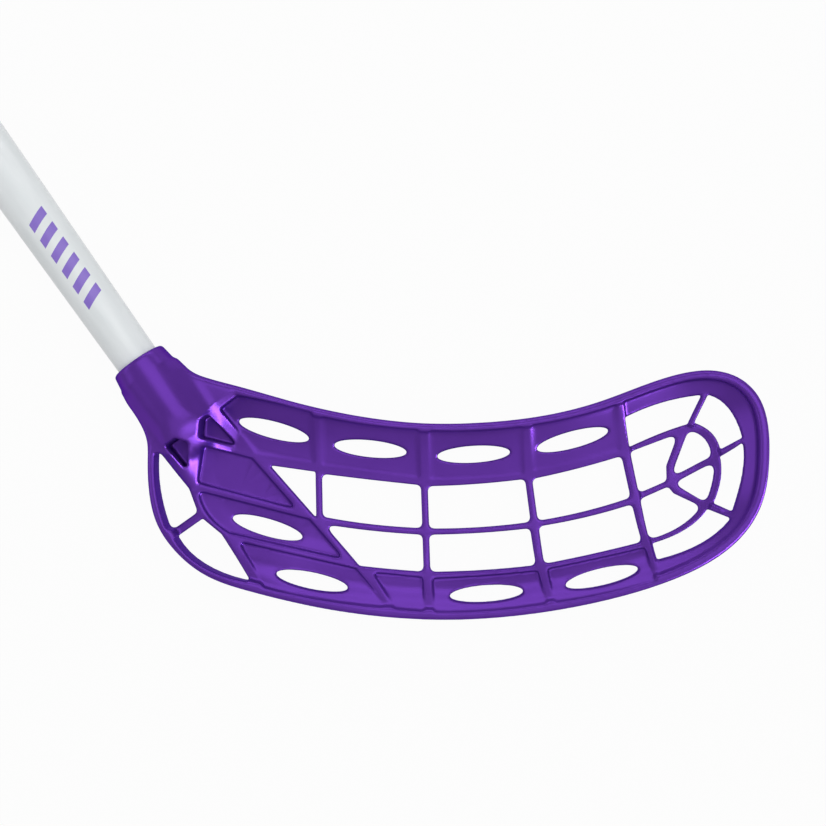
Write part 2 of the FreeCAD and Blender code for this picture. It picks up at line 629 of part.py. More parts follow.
def main():
    parts = [make_shaft(), make_grip(), make_band(), make_cap(), make_screw(), make_blade()]
    doc.recompute()
    failed = [o.Label for o in doc.Objects if "Invalid" in o.State or "Error" in o.State]
    failed += [p.Label for p in parts if p.Shape.isNull() or not p.Shape.isValid()]
    if failed:
        raise RuntimeError("failed to build: " + ", ".join(failed))
    os.makedirs("parts", exist_ok=True)
    for part in parts:
        part.Shape.exportStep(f"parts/{part.Label}.step")


main()
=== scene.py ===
# %% [markdown]
# # A floorball stick
# A floorball stick is a light fibre tube with a wound grip at one end and a moulded plastic blade at the
# other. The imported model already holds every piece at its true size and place, in metres, with the shaft
# along +X and the hollow of the blade facing +Z. This lesson dresses that model: each piece is worked out
# again as a smooth surface in numpy, in millimetres, and then gets the finish of its real material.

# %% Frame
import math

import bpy
import numpy as np
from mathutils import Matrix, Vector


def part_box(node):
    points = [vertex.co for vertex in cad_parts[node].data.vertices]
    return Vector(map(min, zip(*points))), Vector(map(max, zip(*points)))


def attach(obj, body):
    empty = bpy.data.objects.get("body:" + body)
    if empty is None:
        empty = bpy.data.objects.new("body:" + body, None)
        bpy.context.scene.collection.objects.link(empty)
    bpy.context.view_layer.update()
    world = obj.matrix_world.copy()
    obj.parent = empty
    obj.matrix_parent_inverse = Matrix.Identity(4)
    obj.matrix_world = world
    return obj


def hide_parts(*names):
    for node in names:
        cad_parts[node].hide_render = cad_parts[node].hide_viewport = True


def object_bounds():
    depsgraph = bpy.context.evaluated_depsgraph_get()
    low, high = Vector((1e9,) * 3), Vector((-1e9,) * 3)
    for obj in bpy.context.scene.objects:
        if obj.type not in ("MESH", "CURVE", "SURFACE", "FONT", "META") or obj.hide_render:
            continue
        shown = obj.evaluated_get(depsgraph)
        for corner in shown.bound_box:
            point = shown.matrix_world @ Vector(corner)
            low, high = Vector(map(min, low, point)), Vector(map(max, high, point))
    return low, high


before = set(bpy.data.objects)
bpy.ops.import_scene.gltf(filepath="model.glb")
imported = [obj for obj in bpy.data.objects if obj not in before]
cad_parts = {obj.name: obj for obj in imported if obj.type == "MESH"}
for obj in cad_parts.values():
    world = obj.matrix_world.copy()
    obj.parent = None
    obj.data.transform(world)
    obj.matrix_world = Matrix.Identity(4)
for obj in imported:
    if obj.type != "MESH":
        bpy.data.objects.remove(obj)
cad_low, cad_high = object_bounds()
MM = 0.001


def node_box(name):
    """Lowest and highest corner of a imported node, in millimetres."""
    return [np.array(corner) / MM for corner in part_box(name)]


print("frame holds", sorted(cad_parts))

# %% [markdown]
# ## From numbers to a mesh
# Most pieces here are a grid of points: rows run along the piece and columns run round it. One function
# turns such a grid into quads, joins the last column to the first, and can join the last row to the first,
# so no seam is left open. Another makes the mesh and hands the piece to the body that carries it, because
# every piece of the stick has to move with something.


# %% Mesh helpers
def add_piece(name, points, faces, body, node, material):
    """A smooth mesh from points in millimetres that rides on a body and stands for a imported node."""
    mesh = bpy.data.meshes.new(name)
    mesh.from_pydata((np.asarray(points) * MM).tolist(), [], list(faces))
    mesh.shade_smooth()
    mesh.materials.append(material)
    piece = bpy.data.objects.new(name, mesh)
    bpy.context.scene.collection.objects.link(piece)
    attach(piece, body)
    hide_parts(node)
    print(name, len(mesh.vertices), "points,", len(mesh.polygons), "faces")
    return piece


def ring_faces(rows, columns, close_rows):
    """Quads of a grid whose columns close round; close_rows also joins the last row to the first."""
    row, column = np.indices((rows if close_rows else rows - 1, columns))
    below, beside = (row + 1) % rows, (column + 1) % columns
    corners = [(row, column), (row, beside), (below, beside), (below, column)]
    return np.stack([r * columns + c for r, c in corners], axis=-1).reshape(-1, 4)


def turned(along, radius):
    """Rings round the X axis, one to a row: point = (along, radius cos angle, radius sin angle)."""
    angle = np.linspace(0, 2 * np.pi, radius.shape[1], endpoint=False)
    points = [np.broadcast_to(along, radius.shape), radius * np.cos(angle), radius * np.sin(angle)]
    return np.stack(points, axis=-1).reshape(-1, 3)


CORNER_STEPS, SIDE_LIMIT_SHARE = 5, 0.45


def softened(corners, round_by):
    """A closed profile with its corners rounded: near a corner it follows a parabola between the sides."""
    corner = np.asarray(corners, dtype=float)
    before, after = np.roll(corner, 1, axis=0), np.roll(corner, -1, axis=0)
    reach_before = np.linalg.norm(before - corner, axis=1)[:, None]
    reach_after = np.linalg.norm(after - corner, axis=1)[:, None]
    cut = np.minimum(round_by, SIDE_LIMIT_SHARE * np.minimum(reach_before, reach_after))
    start = corner + (before - corner) * cut / reach_before
    end = corner + (after - corner) * cut / reach_after
    t = np.linspace(0, 1, CORNER_STEPS)[None, :, None]
    bend = start[:, None] * (1 - t) ** 2 + corner[:, None] * 2 * t * (1 - t) + end[:, None] * t ** 2
    return bend.reshape(-1, 2)


# %% [markdown]
# ## Finishes
# A finish starts from the real material: what it is, how its surface was made, and what that gives the eye.
# Colours are written as sRGB hex values, as in a paint program, and one function turns them to the linear
# numbers that Blender mixes. One more function adds a node with its settings and links.


# %% Material helpers
def linear(hex_colour):
    """Linear RGBA of an sRGB hex colour, by the sRGB curve."""
    channels = np.array([int(hex_colour[i:i + 2], 16) for i in (1, 3, 5)]) / 255
    curve = np.where(channels <= 0.04045, channels / 12.92, ((channels + 0.055) / 1.055) ** 2.4)
    return (*curve.tolist(), 1.0)


def add_node(tree, kind, inputs=None, **settings):
    """Adds a node, sets its properties, and links or fills its input sockets."""
    node = tree.nodes.new(kind)
    for name, value in settings.items():
        setattr(node, name, value)
    for socket, value in (inputs or {}).items():
        if isinstance(value, bpy.types.NodeSocket):
            tree.links.new(value, node.inputs[socket])
        else:
            node.inputs[socket].default_value = value
    return node


def new_material(name):
    """An empty node material: its tree, and the Object coordinates of the piece in metres."""
    material = bpy.data.materials.new(name)
    material.use_nodes = True
    material.node_tree.nodes.clear()
    place = add_node(material.node_tree, "ShaderNodeTexCoord").outputs["Object"]
    return material, material.node_tree, place


def set_ramp(ramp, low, high):
    """The two colours of a colour ramp, over the middle of a noise pattern's range."""
    for element, place, colour in zip(ramp.color_ramp.elements, (0.3, 0.7), (low, high)):
        element.position, element.color = place, linear(colour)


def finish_material(tree, inputs):
    """Closes a material with one Principled shader."""
    shader = add_node(tree, "ShaderNodeBsdfPrincipled", inputs)
    add_node(tree, "ShaderNodeOutputMaterial", {"Surface": shader.outputs["BSDF"]})


# %% [markdown]
# ### Moulded polyethylene
# The blade is injection moulded from tough polyethylene with a fine pearl pigment, coloured right through.
# The mould was spark eroded to a very fine grain, so the plastic is satin, and the pigment keeps its
# highlights violet: it is drawn as partly metallic, with the edge tint of the same colour. Faint cloudy
# changes of tone come from the way the melt flowed.


# %% Blade plastic
def moulded_polyethylene():
    material, tree, place = new_material("moulded_polyethylene_purple")
    cloud = add_node(tree, "ShaderNodeTexNoise", {"Vector": place, "Scale": 1 / (40 * MM), "Detail": 3.0})
    tone = add_node(tree, "ShaderNodeValToRGB", {"Fac": cloud.outputs["Fac"]})
    set_ramp(tone, "#5c3296", "#6538a2")
    grain = add_node(tree, "ShaderNodeTexNoise", {"Vector": place, "Scale": 1 / (0.8 * MM), "Detail": 2.0})
    bump = add_node(tree, "ShaderNodeBump", {
        "Height": grain.outputs["Fac"], "Strength": 0.08, "Distance": 0.1 * MM,
    })
    rough = add_node(tree, "ShaderNodeMapRange", {
        "Value": cloud.outputs["Fac"], "To Min": 0.28, "To Max": 0.34,
    })
    finish_material(tree, {
        "Base Color": tone.outputs["Color"], "Roughness": rough.outputs["Result"], "Metallic": 0.5,
        "Specular IOR Level": 0.0, "Specular Tint": linear("#8a5fc4"), "IOR": 1.5,
        "Normal": bump.outputs["Normal"],
    })
    return material


blade_plastic = moulded_polyethylene()


# %% [markdown]
# ### Lacquered fibre tube
# The shaft is glass and carbon fibre in resin, rolled on a mandrel and sprayed white. The lacquer is
# glossy with a faint ripple along the tube where the wraps of fibre show through. A row of plain slanted
# bars is printed near the blade, on the side that faces up. The bars come from the piece's own
# coordinates: a to-and-fro ramp along the tube, leaned over by the place across it.


# %% Shaft lacquer
BARS, BAR_PITCH, BAR_WIDTH, BAR_LEAN = 6, 8.4 * MM, 4.4 * MM, 0.45
BAR_HEIGHT, BAR_MIDDLE, FIRST_BAR_FROM_TIP = 9.5 * MM, 1.2 * MM, 110.0


def lacquered_tube(first_bar):
    material, tree, place = new_material("white_lacquer_on_fibre_tube")
    parts = add_node(tree, "ShaderNodeSeparateXYZ", {"Vector": place}).outputs
    leaned = add_node(tree, "ShaderNodeMath", {
        0: parts["Y"], 1: BAR_LEAN, 2: parts["X"],
    }, operation="MULTIPLY_ADD").outputs[0]
    along = add_node(tree, "ShaderNodeMath", {0: leaned, 1: first_bar}, operation="SUBTRACT").outputs[0]
    ramp = add_node(tree, "ShaderNodeMath", {0: along, 1: BAR_PITCH / 2}, operation="PINGPONG").outputs[0]
    row = (BARS - 1) * BAR_PITCH
    tests = [
        ("LESS_THAN", {0: ramp, 1: BAR_WIDTH / 2}),
        ("COMPARE", {0: along, 1: row / 2, 2: (row + BAR_WIDTH) / 2}),
        ("COMPARE", {0: parts["Y"], 1: BAR_MIDDLE, 2: BAR_HEIGHT / 2}),
        ("GREATER_THAN", {0: parts["Z"], 1: 0.0}),
    ]
    printed = 1.0
    for operation, inputs in tests:
        test = add_node(tree, "ShaderNodeMath", inputs, operation=operation).outputs[0]
        printed = add_node(tree, "ShaderNodeMath", {0: printed, 1: test}, operation="MULTIPLY").outputs[0]
    stretched = add_node(tree, "ShaderNodeMapping", {"Vector": place, "Scale": (0.2, 1, 1)})
    ripple = add_node(tree, "ShaderNodeTexNoise", {
        "Vector": stretched.outputs["Vector"], "Scale": 1 / (6 * MM), "Detail": 2.0,
    }).outputs["Fac"]
    white = add_node(tree, "ShaderNodeValToRGB", {"Fac": ripple})
    set_ramp(white, "#dde2e4", "#e5e9eb")
    ink = add_node(tree, "ShaderNodeValToRGB", {"Fac": ripple})
    set_ramp(ink, "#8166c4", "#8c72cc")
    colour = add_node(tree, "ShaderNodeMix", {
        0: printed, 6: white.outputs["Color"], 7: ink.outputs["Color"],
    }, data_type="RGBA")
    bump = add_node(tree, "ShaderNodeBump", {"Height": ripple, "Strength": 0.04, "Distance": 0.2 * MM})
    rough = add_node(tree, "ShaderNodeMapRange", {"Value": ripple, "To Min": 0.28, "To Max": 0.36})
    finish_material(tree, {
        "Base Color": colour.outputs[2], "Roughness": rough.outputs["Result"], "IOR": 1.5,
        "Normal": bump.outputs["Normal"],
    })
    return material


shaft_lacquer = lacquered_tube((node_box("shaft")[1][0] - FIRST_BAR_FROM_TIP) * MM)
print("lacquer with bars:", shaft_lacquer.name)


# %% [markdown]
# ### Grip, tape and rubber
# The grip is a strip of cushioned polyurethane: matte black, soft, and punched with rows of small holes
# that let sweat through. The holes follow the wound strip, so they are drawn in the strip's own map, one
# hole to a unit square, and their insides are painted darker as shade. The strip's end is held by stretched
# vinyl tape, whose fine lines run round the shaft. The cap is moulded rubber, which is dull with a fine
# uneven grain.


# %% Grip, tape and rubber
def cushioned_strip():
    material, tree, place = new_material("punched_polyurethane_strip")
    strip = add_node(tree, "ShaderNodeUVMap", uv_map="strip")
    holes = add_node(tree, "ShaderNodeTexVoronoi", {
        "Vector": strip.outputs["UV"], "Scale": 1.0, "Randomness": 0.0,
    }, voronoi_dimensions="2D")
    depth = add_node(tree, "ShaderNodeMapRange", {
        "Value": holes.outputs["Distance"], "From Min": 0.16, "From Max": 0.26,
    }).outputs["Result"]
    grain = add_node(tree, "ShaderNodeTexNoise", {
        "Vector": place, "Scale": 1 / (0.9 * MM), "Detail": 3.0,
    }).outputs["Fac"]
    height = add_node(tree, "ShaderNodeMath", {0: grain, 1: 0.25, 2: depth}, operation="MULTIPLY_ADD")
    bump = add_node(tree, "ShaderNodeBump", {
        "Height": height.outputs[0], "Strength": 0.7, "Distance": 0.5 * MM,
    })
    # Painted shade: the tone is darkest inside the holes, where shadow would fall, and follows the grain
    # elsewhere.
    grain_and_hole_shade = add_node(tree, "ShaderNodeMath", {0: grain, 1: depth}, operation="MULTIPLY")
    tone = add_node(tree, "ShaderNodeValToRGB", {"Fac": grain_and_hole_shade.outputs[0]})
    set_ramp(tone, "#121214", "#2c2c31")
    finish_material(tree, {
        "Base Color": tone.outputs["Color"], "Roughness": 0.72, "IOR": 1.5,
        "Normal": bump.outputs["Normal"],
    })
    return material


def grained(name, low, high, stretch, grain, rough, strength, metallic=0.0):
    """A finish whose tone, gloss and surface follow one fine grain, longer along some axes than others."""
    material, tree, place = new_material(name)
    longer = add_node(tree, "ShaderNodeMapping", {"Vector": place, "Scale": stretch})
    noise = add_node(tree, "ShaderNodeTexNoise", {
        "Vector": longer.outputs["Vector"], "Scale": 1 / grain, "Detail": 3.0,
    }).outputs["Fac"]
    tone = add_node(tree, "ShaderNodeValToRGB", {"Fac": noise})
    set_ramp(tone, low, high)
    gloss = add_node(tree, "ShaderNodeMapRange", {
        "Value": noise, "To Min": rough - 0.05, "To Max": rough + 0.05,
    })
    bump = add_node(tree, "ShaderNodeBump", {"Height": noise, "Strength": strength, "Distance": 0.15 * MM})
    finish_material(tree, {
        "Base Color": tone.outputs["Color"], "Roughness": gloss.outputs["Result"], "Metallic": metallic,
        "Normal": bump.outputs["Normal"],
    })
    return material


grip_foam = cushioned_strip()
band_tape = grained("stretched_vinyl_tape", "#4c2789", "#5c30a0", (1, 0.08, 0.08), 0.8 * MM, 0.42, 0.3)
cap_rubber = grained("moulded_rubber", "#18181a", "#26262a", (1, 1, 1), 0.9 * MM, 0.7, 0.35)

# %% [markdown]
# ### Zinc plated steel
# The screw is cold headed, rolled and zinc plated. The plating is bright but slightly cloudy, so it keeps
# a soft metal gloss.

# %% Screw steel
screw_steel = grained("zinc_plated_steel", "#a9adb5", "#c2c5cb", (1, 1, 1), 0.5 * MM, 0.32, 0.1, 1.0)
print("finishes:", [m.name for m in (grip_foam, band_tape, cap_rubber, screw_steel)])

# %% [markdown]
# ## The blade's plan
# The blade is drawn from the front. Its corners are pixels of the reference picture, which was taken from
# a few blade lengths away, so a thing that stands nearer looks larger. Each pixel is first moved to where
# it would be if the thing lay level with the shaft's axis, and then scaled to the blade's real length.

# %% Blade sizes
BLADE_LENGTH, BLADE_HEIGHT = 278.0, 111.9
BACK_DEPTH, HOOK_DEPTH, CUP_DEPTH, CUP_WIDTH = 14.2, 16.0, 12.4, 29.0
WEB, RIB, LIP, LIP_WIDTH, LIP_FALL = 2.6, 4.8, 4.4, 3.9, 0.12
TOP_PANEL_DEPTH, TOP_PANEL_SLOPE = 0.55, (-1.0, 2.5)
FOOT_WIDTH, FOOT_FADE = 10.0, (-50.0, -80.0)
RIM_LEVEL, RIB_BELOW_RIM = CUP_DEPTH + LIP, 1.2
NECK_SLOPE, NECK_POWER, CUP_POWER = 17.0, 1.1, 1.6
HOOK_START_SHARE, HEEL_WALL_SHARES = 0.3, (0.06, 0.24)
EDGE_SWELL, SWELL_SHARES, SINK_SHARES = 1.08, (0.33, 0.43), (0.925, 0.97)
LIE = math.radians(54.75)
SOCKET_DEPTH, SOCKET_GAP, BORE = 34.0, 0.4, 10.05
MOUTH_RADIUS, COLLAR_LENGTH, COLLAR_RADIUS = 12.9, 8.0, 14.1
COLLAR_STEP, COLLAR_EDGE = 0.35, 0.9
NECK_RADIUS, NOSE_LENGTH, NOSE_FALL = 12.35, 14.0, 0.75
ROOT_RADIUS, ROOT_SPREAD, ROOT_CURVE = 15.2, 0.12, 0.02
SCREW_TURN, SCREW_PLACE, SCREW_SEAT = math.radians(25), 17.0, 11.6
SHANK, HEAD, SCREW_CLEARANCE = 1.88, 3.5, 0.1
FILLETS = {
    "lip": 1.8, "back": 1.4, "rim": 3.4, "rib": 1.5, "rib_at_neck": 0.1, "root": 1.5, "socket": 1.0,
    "socket_far": 6.0, "nose": 4.0, "mouth": 1.6, "rest": 1.0, "panel_floor": 1.0, "panel": 1.1,
    "top_panel": 0.8, "window": 1.0, "bore": 0.6, "screw": 0.5,
}
SOCKET_BLEND = (3, 15)
MOUTH_X = node_box("shaft")[1][0] - SOCKET_DEPTH

MOUTH_PX, MIDDLE_PX = np.array((138.0, 361.0)), np.array((413.0, 413.0))
HEEL_PX, TOE_PX = (147.5, 465.0), (768.5, 455.0)
CREST_PX, SOLE_PX = (705.0, 370.5), (450.0, 618.5)
VIEW_DISTANCE = 2.7 * BLADE_LENGTH
EDGE_PX = [
    (175.5, 359.5), (184, 368.5), (197, 374.7), (240, 387), (300, 403.5), (360, 416.2), (420, 423),
    (480, 422.6), (540, 416.2), (600, 401.5), (650, 383), (690, 372), (715, 371), (740, 379), (758, 397),
    (767, 425), (768.3, 455), (763, 497), (750, 524.5), (720, 554), (670, 579.5), (600, 600.3), (520, 614),
    (450, 618.4), (390, 616), (320, 606.5), (250, 590), (205, 573.5), (175, 549), (157.5, 522), (150, 490),
    (147.6, 465), (145, 434), (134, 408), (123.5, 393.5),
]
NECK_PX = [
    (100, 330), (255, 330), (231, 391), (214, 402), (205, 411), (197, 434), (184, 441), (177, 456),
    (160, 452), (100, 449),
]
WINDOWS_PX = {
    "upper_1": [(270, 465.3), (315.6, 471.8), (316.4, 518.2)],
    "upper_2": [(322, 473.8, 371, 479.8), (420.8, 485.2), (422.3, 528.2, 372, 524.4), (322.8, 516.8)],
    "upper_3": [(427.8, 486.2, 476, 484), (525, 479), (530.6, 522, 480, 527.2), (429.2, 528.6)],
    "upper_4": [(532, 479, 577, 468.6), (621.5, 455.8), (630.6, 497.6, 585, 511.2), (537.7, 520.8)],
    "lower_2": [(323.5, 524, 373, 530.8), (422.4, 534.6), (423.6, 571.4, 391, 568.8), (359.5, 565.5)],
    "lower_3": [(429.2, 534.6, 480, 532.8), (530, 528.2), (535.6, 564.8, 484, 569.6), (430.4, 571.5)],
    "lower_4": [(538.5, 526.3, 586, 517), (632, 504), (641, 541.5, 593, 553.3), (543.7, 563.5)],
    "toe_top": [(623.5, 417.5, 660, 402.8), (699.3, 395.2), (687.2, 424, 660, 433.4), (629, 447)],
    "toe_corner": [(705.5, 395, 726.5, 408.5), (739.5, 437.5), (719.5, 449.3, 711, 432.5), (693.5, 422.5)],
    "toe_end": [(739.8, 442.5, 739.5, 472), (729, 510.5), (712.3, 502.8, 719.8, 479), (719.3, 456.5)],
    "toe_sole": [(727.3, 517.3, 698, 542), (654.8, 558.3), (651.7, 543, 685, 528.7), (706.3, 508.8)],
    "toe_left": [(630, 452), (678.3, 433.8), (666.3, 466), (666.8, 481), (638.7, 493.3)],
    "toe_inner_top": [(688.5, 430.5, 704.5, 439), (711, 456.3), (670.5, 478)],
    "toe_inner_sole": [(674, 483.5), (713.5, 462.3, 711.8, 481), (705, 502.3)],
    "toe_low": [(640.2, 499.3), (668.3, 486.8), (673.5, 493.5), (700.5, 506.3, 679, 526), (648.5, 539)],
    "heel_top": [(159.3, 452, 160.8, 491), (171.8, 530.5), (198, 512), (189.2, 488), (165.5, 453.5)],
    "heel_sole": [(178.2, 536), (203, 518.5), (222, 534), (252, 579.3, 206, 564)],
}
PANELS_PX = {
    "top_1": [(221.5, 409.5), (239, 396, 275, 402.5), (313.3, 412.3), (315, 462.8), (256.5, 452.8)],
    "top_2": [(322, 416.5, 370, 425), (418.5, 429.3), (420.3, 477.8, 370, 471), (321.8, 464.5)],
    "top_3": [(428.5, 430.5, 476, 430.5), (521, 426.5), (524, 473, 478, 477.6), (430, 479)],
    "top_4": [(529.5, 425, 572, 417), (614, 404.5), (620.5, 449.5, 577, 461), (533.5, 470.5)],
    "sole_1": [(372.5, 572), (422.7, 577), (424.5, 608.5), (396, 606)],
    "sole_2": [(432.5, 578, 485, 575.2), (537.5, 570.3), (545, 600.5, 490, 607.5), (434, 609.3)],
    "sole_3": [(547, 568.5, 597, 558), (644, 547), (652, 577.5, 603, 590.5), (553, 599.5)],
    "heel_1": [(204, 446), (252, 458.5), (297, 509.5), (198, 483)],
    "heel_2": [(198, 491), (309.5, 519.5), (344, 559), (229, 533, 208, 515)],
    "heel_3": [(238.5, 541.5), (356, 568.3), (388, 604.5, 325, 597.5), (266, 585)],
    "pocket_heel": [(169, 445), (180, 437.5), (191.8, 441.5), (188.5, 470)],
    "pocket_top": [(204.5, 420), (211, 414.5), (238.5, 446.5), (202.8, 437.5)],
}
TOE_FLANGE_PX = [(617, 380), (800, 340), (800, 620), (666, 620)]
SPOKES_PX = [((690, 426), (712, 372)), ((719.5, 452.7), (772, 423.5)), ((709, 506), (772, 533))]
HOLES_PX = [
    ((274, 430), (309, 439)), ((370.5, 448.7), (407, 452.5)), ((473.5, 454.2), (510, 452)),
    ((572, 439.7), (607, 430.5)), ((267, 528), (301.5, 538)),
]
SOLE_HOLES_PX = [((312.5, 580), (348.5, 587.5)), ((486, 592.6), (522.5, 590)), ((600.5, 576), (636, 567.5))]
WINDOW_CORNER, SHARP_CORNER, PANEL_CORNER, CORNER_LIMIT_SHARE = 2.6, 0.7, 1.6, 0.42
SHARP_WINDOWS = ("upper_1", "heel_sole", "toe_top", "toe_corner", "toe_end", "toe_sole")
SPOKE_WIDTH, SPOKE_SOFT, SPOKE_FADE = 3.1, 0.7, (9.5, 13.5)
HOLE_LENGTH, HOLE_WIDTH, SOLE_HOLE_WIDTH = 33.4, 7.8, 7.0


# %% From pixels to the blade's plane
def hook_rise(share):
    """How far the blade has bent forward at a share of its length: a parabola that starts past the heel."""
    return HOOK_DEPTH * np.clip((share - HOOK_START_SHARE) / (1 - HOOK_START_SHARE), 0, None) ** 2


def level_with_axis(pixels, level):
    """Pixels of things at a level over the blade's back, where they would show on the axis's level."""
    pixels = np.asarray(pixels, dtype=float)
    share = (pixels[..., :1] - HEEL_PX[0]) / (TOE_PX[0] - HEEL_PX[0])
    height = level - BACK_DEPTH + hook_rise(share)
    return MIDDLE_PX + (pixels - MIDDLE_PX) * (1 - height / VIEW_DISTANCE)


def level_span(first, last, axis):
    """How far apart two pixels of the rim show on the axis's level, along one way of the picture."""
    return abs(level_with_axis(last, RIM_LEVEL)[axis] - level_with_axis(first, RIM_LEVEL)[axis])


MM_PER_PX = np.array((
    BLADE_LENGTH / level_span(HEEL_PX, TOE_PX, 0), BLADE_HEIGHT / level_span(CREST_PX, SOLE_PX, 1),
))


def on_blade(pixels, level):
    """Places in the blade's plane: across to the toe and up, in millimetres from the mouth's centre."""
    return (level_with_axis(pixels, level) - MOUTH_PX) * MM_PER_PX * (1, -1)


print("millimetres in a pixel", MM_PER_PX)


# %% Outlines
def smooth_curve(points, per_span=10):
    """A natural cubic spline through points, by chord length, sampled evenly along its length."""
    steps = np.linalg.norm(np.diff(points, axis=0), axis=1)
    knots = np.concatenate([[0], np.cumsum(steps)])
    count = len(points)
    matrix, target = np.eye(count), np.zeros((count, 2))
    inner = np.arange(1, count - 1)
    matrix[inner, inner - 1] = steps[:-1]
    matrix[inner, inner] = 2 * (steps[:-1] + steps[1:])
    matrix[inner, inner + 1] = steps[1:]
    slopes = np.diff(points, axis=0) / steps[:, None]
    target[1:-1] = 6 * np.diff(slopes, axis=0)
    bend = np.linalg.solve(matrix, target)
    at = np.linspace(0, knots[-1], per_span * (count - 1) + 1)
    span = np.clip(np.searchsorted(knots, at, side="right") - 1, 0, count - 2)
    h, left, right = steps[span][:, None], (at - knots[span])[:, None], (knots[span + 1] - at)[:, None]
    return (
        (bend[span] * right ** 3 + bend[span + 1] * left ** 3) / (6 * h)
        + (points[span] / h - bend[span] * h / 6) * right
        + (points[span + 1] / h - bend[span + 1] * h / 6) * left
    )


def corner_loop(corners, radius, level, side_steps=9, corner_steps=6):
    """A closed loop from corners in pixels: sides are parabolas through bow points, corners are rounded."""
    points = np.array([on_blade(c[:2], level) for c in corners])
    ends = np.roll(points, -1, axis=0)
    halfway = (points + ends) / 2
    bows = np.array([on_blade(c[2:], level) if len(c) == 4 else p for c, p in zip(corners, halfway)])
    lengths = np.linalg.norm(ends - points, axis=1)
    leaving, arriving = bows - points, np.roll(bows - ends, 1, axis=0)
    cosine = (leaving * arriving).sum(1) / np.linalg.norm(leaving, axis=1)
    half = np.arccos(np.clip(cosine / np.linalg.norm(arriving, axis=1), -1, 1)) / 2
    longest = CORNER_LIMIT_SHARE * np.minimum(lengths, np.roll(lengths, 1))
    trim = np.minimum(radius / np.tan(half), longest)
    start, stop = trim / lengths, 1 - np.roll(trim, -1) / lengths
    t = (start[:, None] + (stop - start)[:, None] * np.linspace(0, 1, side_steps))[..., None]
    sides = (
        points[:, None] * (1 - t) * (1 - 2 * t)
        + bows[:, None] * 4 * t * (1 - t)
        + ends[:, None] * t * (2 * t - 1)
    )
    s = np.linspace(0, 1, corner_steps + 2)[1:-1, None]
    nexts = np.roll(sides[:, 0], -1, axis=0)
    turns = sides[:, -1:] * (1 - s) ** 2 + ends[:, None] * 2 * s * (1 - s) + nexts[:, None] * s ** 2
    return np.concatenate([sides, turns], axis=1).reshape(-1, 2)


def oval_loop(middle, end, width, sides=72):
    """An oval that points at a pixel: centre + half length cos t along + half width sin t across."""
    centre = on_blade(middle, RIB)
    way = on_blade(end, RIB) - centre
    way /= np.linalg.norm(way)
    t = np.linspace(0, 2 * np.pi, sides, endpoint=False)[:, None]
    across = np.array((-way[1], way[0]))
    return centre + way * np.cos(t) * HOLE_LENGTH / 2 + across * np.sin(t) * width / 2


def spoke_loop(start, end):
    """The corners of a straight strip between two pixels."""
    first, last = on_blade(start, RIB), on_blade(end, RIB)
    way = (last - first) / np.linalg.norm(last - first)
    side = np.array((-way[1], way[0])) * SPOKE_WIDTH / 2
    return np.array([first + side, last + side, last - side, first - side])


edge_loop = smooth_curve(on_blade(EDGE_PX, RIM_LEVEL))
print("edge of the blade:", len(edge_loop), "points")

# %% [markdown]
# ## The blade's solid
# A moulded blade has no sharp edges: every rib, window and wall runs into the next with a small radius.
# Modelling each radius by hand would take days, so the blade is written as a field instead: a number for
# each place in space that is negative in the plastic and positive outside. Pieces are joined with a soft
# minimum and cut with a soft maximum, which leave a fillet, and a net of quads is then drawn where the
# field is zero.

# %% Plan of distances
STEP = np.array((0.6, 0.6, 0.7))
LOW, HIGH = np.array((-17.0, -121.0, -16.5)), np.array((285.0, 13.0, 22.0))
COUNT = np.ceil((HIGH - LOW) / STEP).astype(int) + 1
across = (LOW[0] + STEP[0] * np.arange(COUNT[0]))[:, None]
up = (LOW[1] + STEP[1] * np.arange(COUNT[1]))[None, :]


def loop_distance(x, y, loop):
    """Signed distance to a closed loop, negative inside: nearest side, its sign from counted crossings."""
    nearest, inside = np.full(np.broadcast_shapes(x.shape, y.shape), 1e9), False
    for (px, py), (qx, qy) in zip(loop, np.roll(loop, -1, axis=0)):
        dx, dy = qx - px, qy - py
        t = np.clip(((x - px) * dx + (y - py) * dy) / (dx * dx + dy * dy + 1e-12), 0, 1)
        nearest = np.minimum(nearest, (x - px - t * dx) ** 2 + (y - py - t * dy) ** 2)
        if dy:
            inside = inside ^ (((py > y) != (qy > y)) & (x < dx * (y - py) / dy + px))
    return np.sqrt(nearest) * np.where(inside, -1, 1)


def plan_of(loops, margin=5.0):
    """The least signed distance to many loops over the whole plan, worked out only near each one."""
    plan = np.full(COUNT[:2], margin)
    for loop in loops:
        first = np.maximum(((loop.min(0) - margin - LOW[:2]) / STEP[:2]).astype(int), 0)
        last = np.minimum(((loop.max(0) + margin - LOW[:2]) / STEP[:2]).astype(int) + 1, COUNT[:2])
        part = np.s_[first[0]:last[0], first[1]:last[1]]
        distance = loop_distance(across[first[0]:last[0]], up[:, first[1]:last[1]], loop)
        plan[part] = np.minimum(plan[part], distance)
    return plan


inside_edge = -loop_distance(across, up, edge_loop)
outside_neck = loop_distance(across, up, on_blade(NECK_PX, RIM_LEVEL))
corner_of = {name: SHARP_CORNER if name in SHARP_WINDOWS else WINDOW_CORNER for name in WINDOWS_PX}
windows = plan_of([corner_loop(c, corner_of[name], RIB / 2) for name, c in WINDOWS_PX.items()])
panel_loops = {name: corner_loop(c, PANEL_CORNER, RIB) for name, c in PANELS_PX.items()}
panels = plan_of([c for name, c in panel_loops.items() if not name.startswith("top")])
top_panels = plan_of([c for name, c in panel_loops.items() if name.startswith("top")])
ovals = [oval_loop(*h, HOLE_WIDTH) for h in HOLES_PX]
ovals += [oval_loop(*h, SOLE_HOLE_WIDTH) for h in SOLE_HOLES_PX]
holes = plan_of(ovals)
toe = loop_distance(across, up, corner_loop(TOE_FLANGE_PX, PANEL_CORNER, RIB))
flange = np.maximum(toe, LIP_WIDTH - inside_edge)
spokes = plan_of([spoke_loop(*s) for s in SPOKES_PX])
print("plan of", COUNT[0], "by", COUNT[1], "places")


